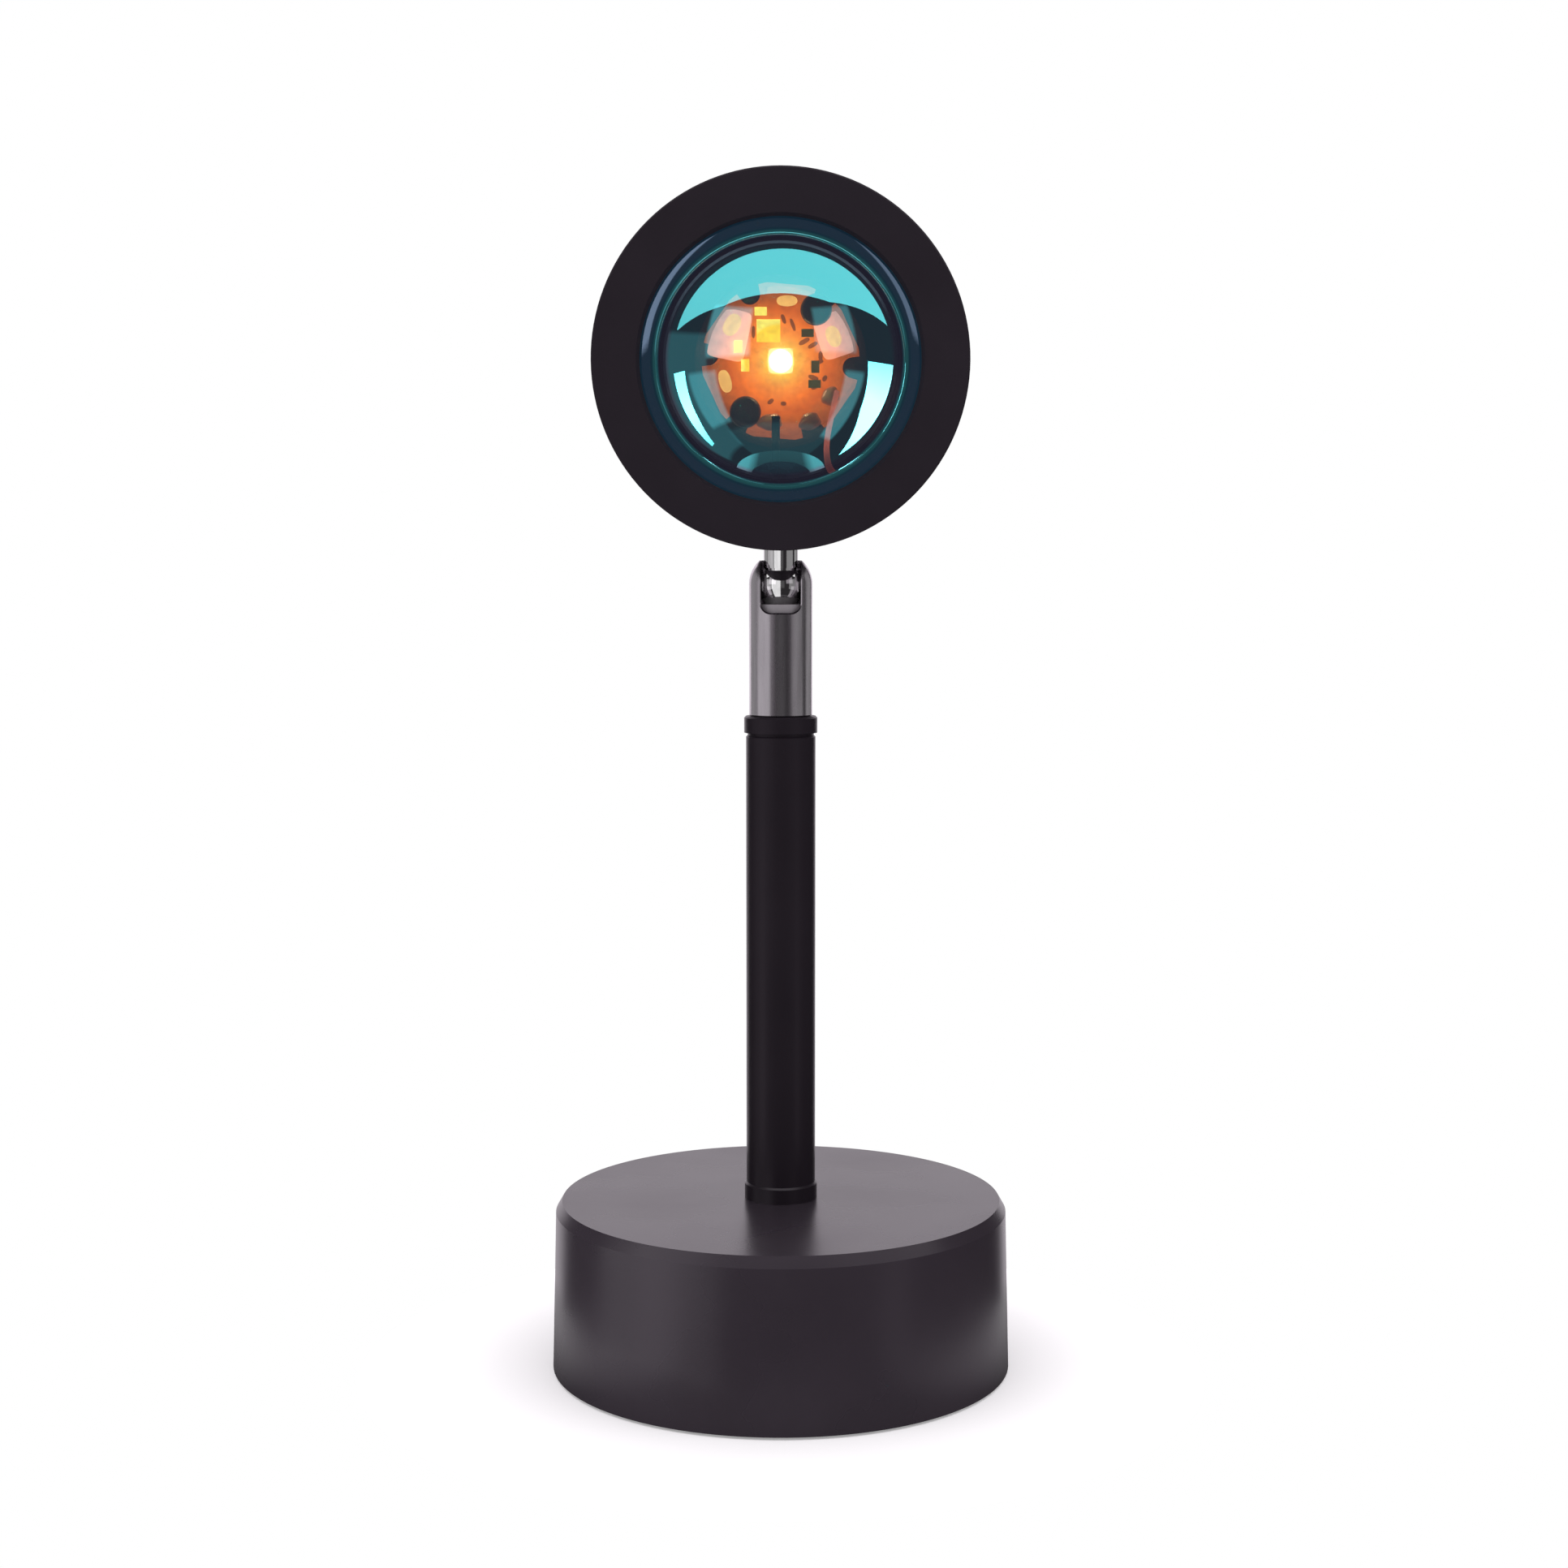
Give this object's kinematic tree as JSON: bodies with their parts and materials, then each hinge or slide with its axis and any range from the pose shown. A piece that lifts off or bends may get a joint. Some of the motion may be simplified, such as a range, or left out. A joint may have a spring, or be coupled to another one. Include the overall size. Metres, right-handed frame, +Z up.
{
  "type": "sunset projection lamp",
  "caption": "Table lamp that throws a round sunset glow: weighted drum base, pole, slotted ball swivel and a short tube head with a thick domed lens.",
  "frame": {"origin": "centre of the foot pad's underside, on the table", "axes": "+Z up along the pole; the lens looks along -Y, nodding 4 degrees down at rest; +X to the viewer's right from the front"},
  "size_m": [0.1, 0.1008, 0.258],
  "materials": {
    "base_paint": "satin black powder coat",
    "pole_paint": "semi-matt black paint",
    "chrome": "polished plating",
    "head_anodised": "black anodised, fine matt",
    "lens_glass": "polished thick glass with a teal mirror coat",
    "bare_aluminium": "machined",
    "cast_iron": "rough cast",
    "steel": "zinc plated",
    "black_steel": "black oxide",
    "brass": "turned",
    "foot_rubber": "matt foam rubber",
    "seal_rubber": "smooth",
    "nylon": "moulded",
    "thermal_paste": "soft pad",
    "board_mask": "white solder mask on aluminium",
    "emitter_ceramic": "ceramic",
    "emitter_lens": "clear silicone dome over an orange light",
    "chip_black": "moulded",
    "lead_jacket": "smooth jacket",
    "wire_red": "smooth insulation",
    "wire_black": "smooth insulation"
  },
  "bodies": {
    "stand": {"base_cover": "base_paint", "bottom_plate": "steel", "bottom_plate_screws": "black_steel", "foot_pad": "foot_rubber", "base_weight": "cast_iron", "base_washer": "steel", "base_nut": "steel", "grommet": "seal_rubber", "base_rod": "steel", "lower_collar": "pole_paint", "pole_tube": "pole_paint", "upper_collar": "pole_paint", "socket_rod": "steel", "swivel_socket": "chrome", "socket_plug": "brass", "disc_springs": "steel", "ball_seat": "nylon", "base_lead": "lead_jacket", "lead_connector": "nylon", "lead_clamp": "nylon"},
    "knuckle": {"ball_stud": "chrome", "neck_washer": "steel", "neck_nut": "steel"},
    "head": {"head_shell": "head_anodised", "front_bezel": "head_anodised", "lens": "lens_glass", "lens_gasket": "seal_rubber", "lens_retainer": "head_anodised", "heat_sink": "bare_aluminium", "rear_cap": "head_anodised", "rear_cap_screws": "black_steel", "thermal_pad": "thermal_paste", "star_board": "board_mask", "board_screws": "steel", "emitter_base": "emitter_ceramic", "emitter_dome": "emitter_lens", "board_parts": "chip_black", "head_lead": "lead_jacket", "lead_red": "wire_red", "lead_black": "wire_black"}
  },
  "joints": [
    {"name": "head_tilt", "type": "hinge", "parent": "stand", "child": "knuckle", "pos_m": [0, 0, 0.1711], "axis": [1, 0, 0], "range_deg": [-4, 86]},
    {"name": "head_turn", "type": "hinge", "parent": "knuckle", "child": "head", "pos_m": [0, 0, 0.1711], "axis": [0, -0.0698, 0.9976], "range_deg": [-175, 175]}
  ]
}
